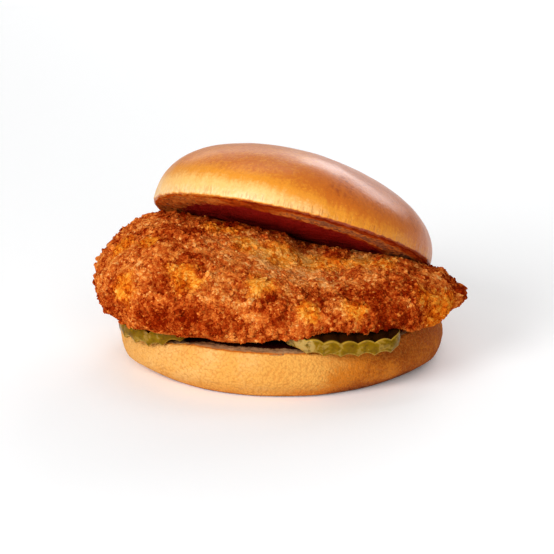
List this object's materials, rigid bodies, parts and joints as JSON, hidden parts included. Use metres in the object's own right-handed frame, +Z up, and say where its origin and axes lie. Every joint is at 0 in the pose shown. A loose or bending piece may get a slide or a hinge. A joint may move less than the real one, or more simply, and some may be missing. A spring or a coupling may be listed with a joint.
{
  "type": "chicken burger",
  "caption": "Fried chicken burger: breaded filet, longer than its round bun, on crinkle-cut pickle chips, with the smooth domed crown leaning back over it",
  "frame": {"origin": "centre of the bun heel's flat base, on the surface that the burger stands on", "axes": "+Z is up, +X runs along the filet towards its thin end, +Y points away from the open front, where the crown is tipped up"},
  "size_m": [0.1201, 0.1022, 0.0712],
  "materials": {
    "bun_heel": "soft golden bread crust, fine pebbled, matte, with a pale cut crumb face",
    "pickle": "wet olive-green dill pickle with pale green flesh and ridges",
    "fried_breading": "coarse crisp orange-brown fried breading with golden and dark patches",
    "bun_crown": "smooth golden-brown baked crust with a soft buttery shine and a toasted cut face"
  },
  "bodies": {
    "root": {"bun_heel": "bun_heel", "pickle_left": "pickle", "pickle_right": "pickle", "chicken_filet": "fried_breading", "bun_crown": "bun_crown"}
  },
  "joints": []
}
